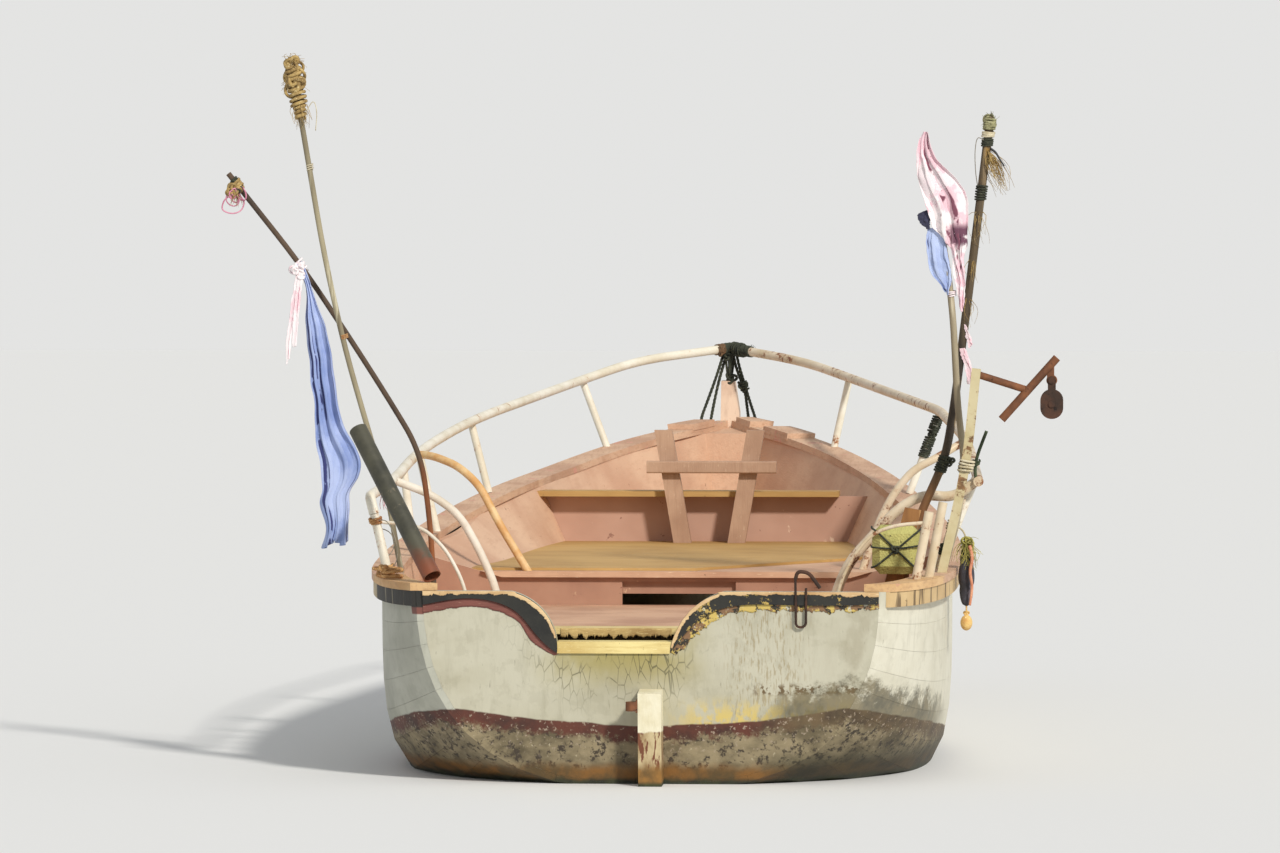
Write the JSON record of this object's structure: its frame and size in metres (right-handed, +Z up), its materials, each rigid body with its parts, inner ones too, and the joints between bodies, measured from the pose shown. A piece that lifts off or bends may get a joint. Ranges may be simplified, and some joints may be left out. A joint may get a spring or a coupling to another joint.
{
  "type": "open wooden fishing boat",
  "caption": "Small open planked boat with transom stern, inside decks, tube guard rails, flag poles, hauling davit and pulley block.",
  "frame": {"origin": "on the waterline, on the centreline, halfway along the hull", "axes": "+X to starboard, +Y towards the bow, +Z up"},
  "size_m": [2.7565, 5.7378, 2.7165],
  "materials": {
    "topside_paint": "weathered off-white paint on planks",
    "bottom_paint": "dark maroon bottom paint with fouling",
    "cap_paint": "worn ochre paint on wood",
    "rub_paint": "cream paint with dark nail streaks",
    "band_paint": "black paint on wood",
    "ochre_paint": "ochre paint on wood",
    "inside_paint": "salmon-pink paint on wood",
    "bare_wood": "bare weathered wood",
    "rail_paint": "white paint on steel tube with rust",
    "rusty_iron": "rusty iron",
    "dark_pipe": "dark steel pipe with rust at the end",
    "pole_wood": "bare weathered pole",
    "foam": "yellow-green foam",
    "fender_cloth": "stuffed cloth roll",
    "blue_fabric": "faded blue cloth",
    "pink_fabric": "faded pink cloth"
  },
  "bodies": {
    "hull": {"bottom_planks_port": "bottom_paint", "bottom_planks_starboard": "bottom_paint", "topside_planks_port": "topside_paint", "topside_planks_starboard": "topside_paint", "keel": "bottom_paint", "stem": "topside_paint", "keelson": "bare_wood", "sternpost": "topside_paint", "gudgeon": "rusty_iron", "cap_rail_port": "cap_paint", "cap_rail_starboard": "cap_paint", "rub_rail_port": "rub_paint", "rub_rail_starboard": "rub_paint", "transom": "topside_paint", "transom_band_port": "band_paint", "transom_band_starboard": "band_paint", "notch_sill": "ochre_paint", "stern_lining_port": "inside_paint", "stern_lining_starboard": "inside_paint", "lining_port": "inside_paint", "lining_starboard": "inside_paint", "stern_deck": "inside_paint", "middle_deck": "inside_paint", "stern_deck_beams": "bare_wood", "middle_deck_beams": "bare_wood", "locker_bulkhead": "inside_paint", "sliding_board": "ochre_paint", "plywood_sheet": "ochre_paint", "forward_bulkhead": "inside_paint", "shelf": "inside_paint", "bitt_posts": "inside_paint", "bitt_bar": "inside_paint", "apron": "inside_paint", "bow_blocks": "rub_paint", "rail_port": "rail_paint", "rail_starboard": "rail_paint", "stanchions_port": "rail_paint", "stanchions_starboard": "rail_paint", "quarter_posts_starboard": "rail_paint", "hoops_port": "rail_paint", "hoops_starboard": "rail_paint", "davit_post": "rail_paint", "davit_bar": "rusty_iron", "pipe": "dark_pipe", "pole_port_tall": "pole_wood", "pole_port_raking": "pole_wood", "pole_starboard_main": "pole_wood", "pole_starboard_flag": "pole_wood", "pole_board": "ochre_paint", "foam_float": "foam", "transom_hook": "rusty_iron", "fender": "fender_cloth", "blue_cloth": "blue_fabric", "pink_cloth": "pink_fabric"},
    "block": {"block_shell": "rusty_iron", "block_pins": "rusty_iron"},
    "sheave_wheel": {"sheave": "rusty_iron"}
  },
  "joints": [
    {"name": "block_swing", "type": "hinge", "parent": "hull", "child": "block", "pos_m": [1.283, -2.13, 1.292], "axis": [0, 1, 0], "range_deg": [-60, 20]},
    {"name": "sheave_spin", "type": "hinge", "parent": "block", "child": "sheave_wheel", "pos_m": [1.283, -2.13, 1.214], "axis": [0, 1, 0], "continuous": true}
  ]
}
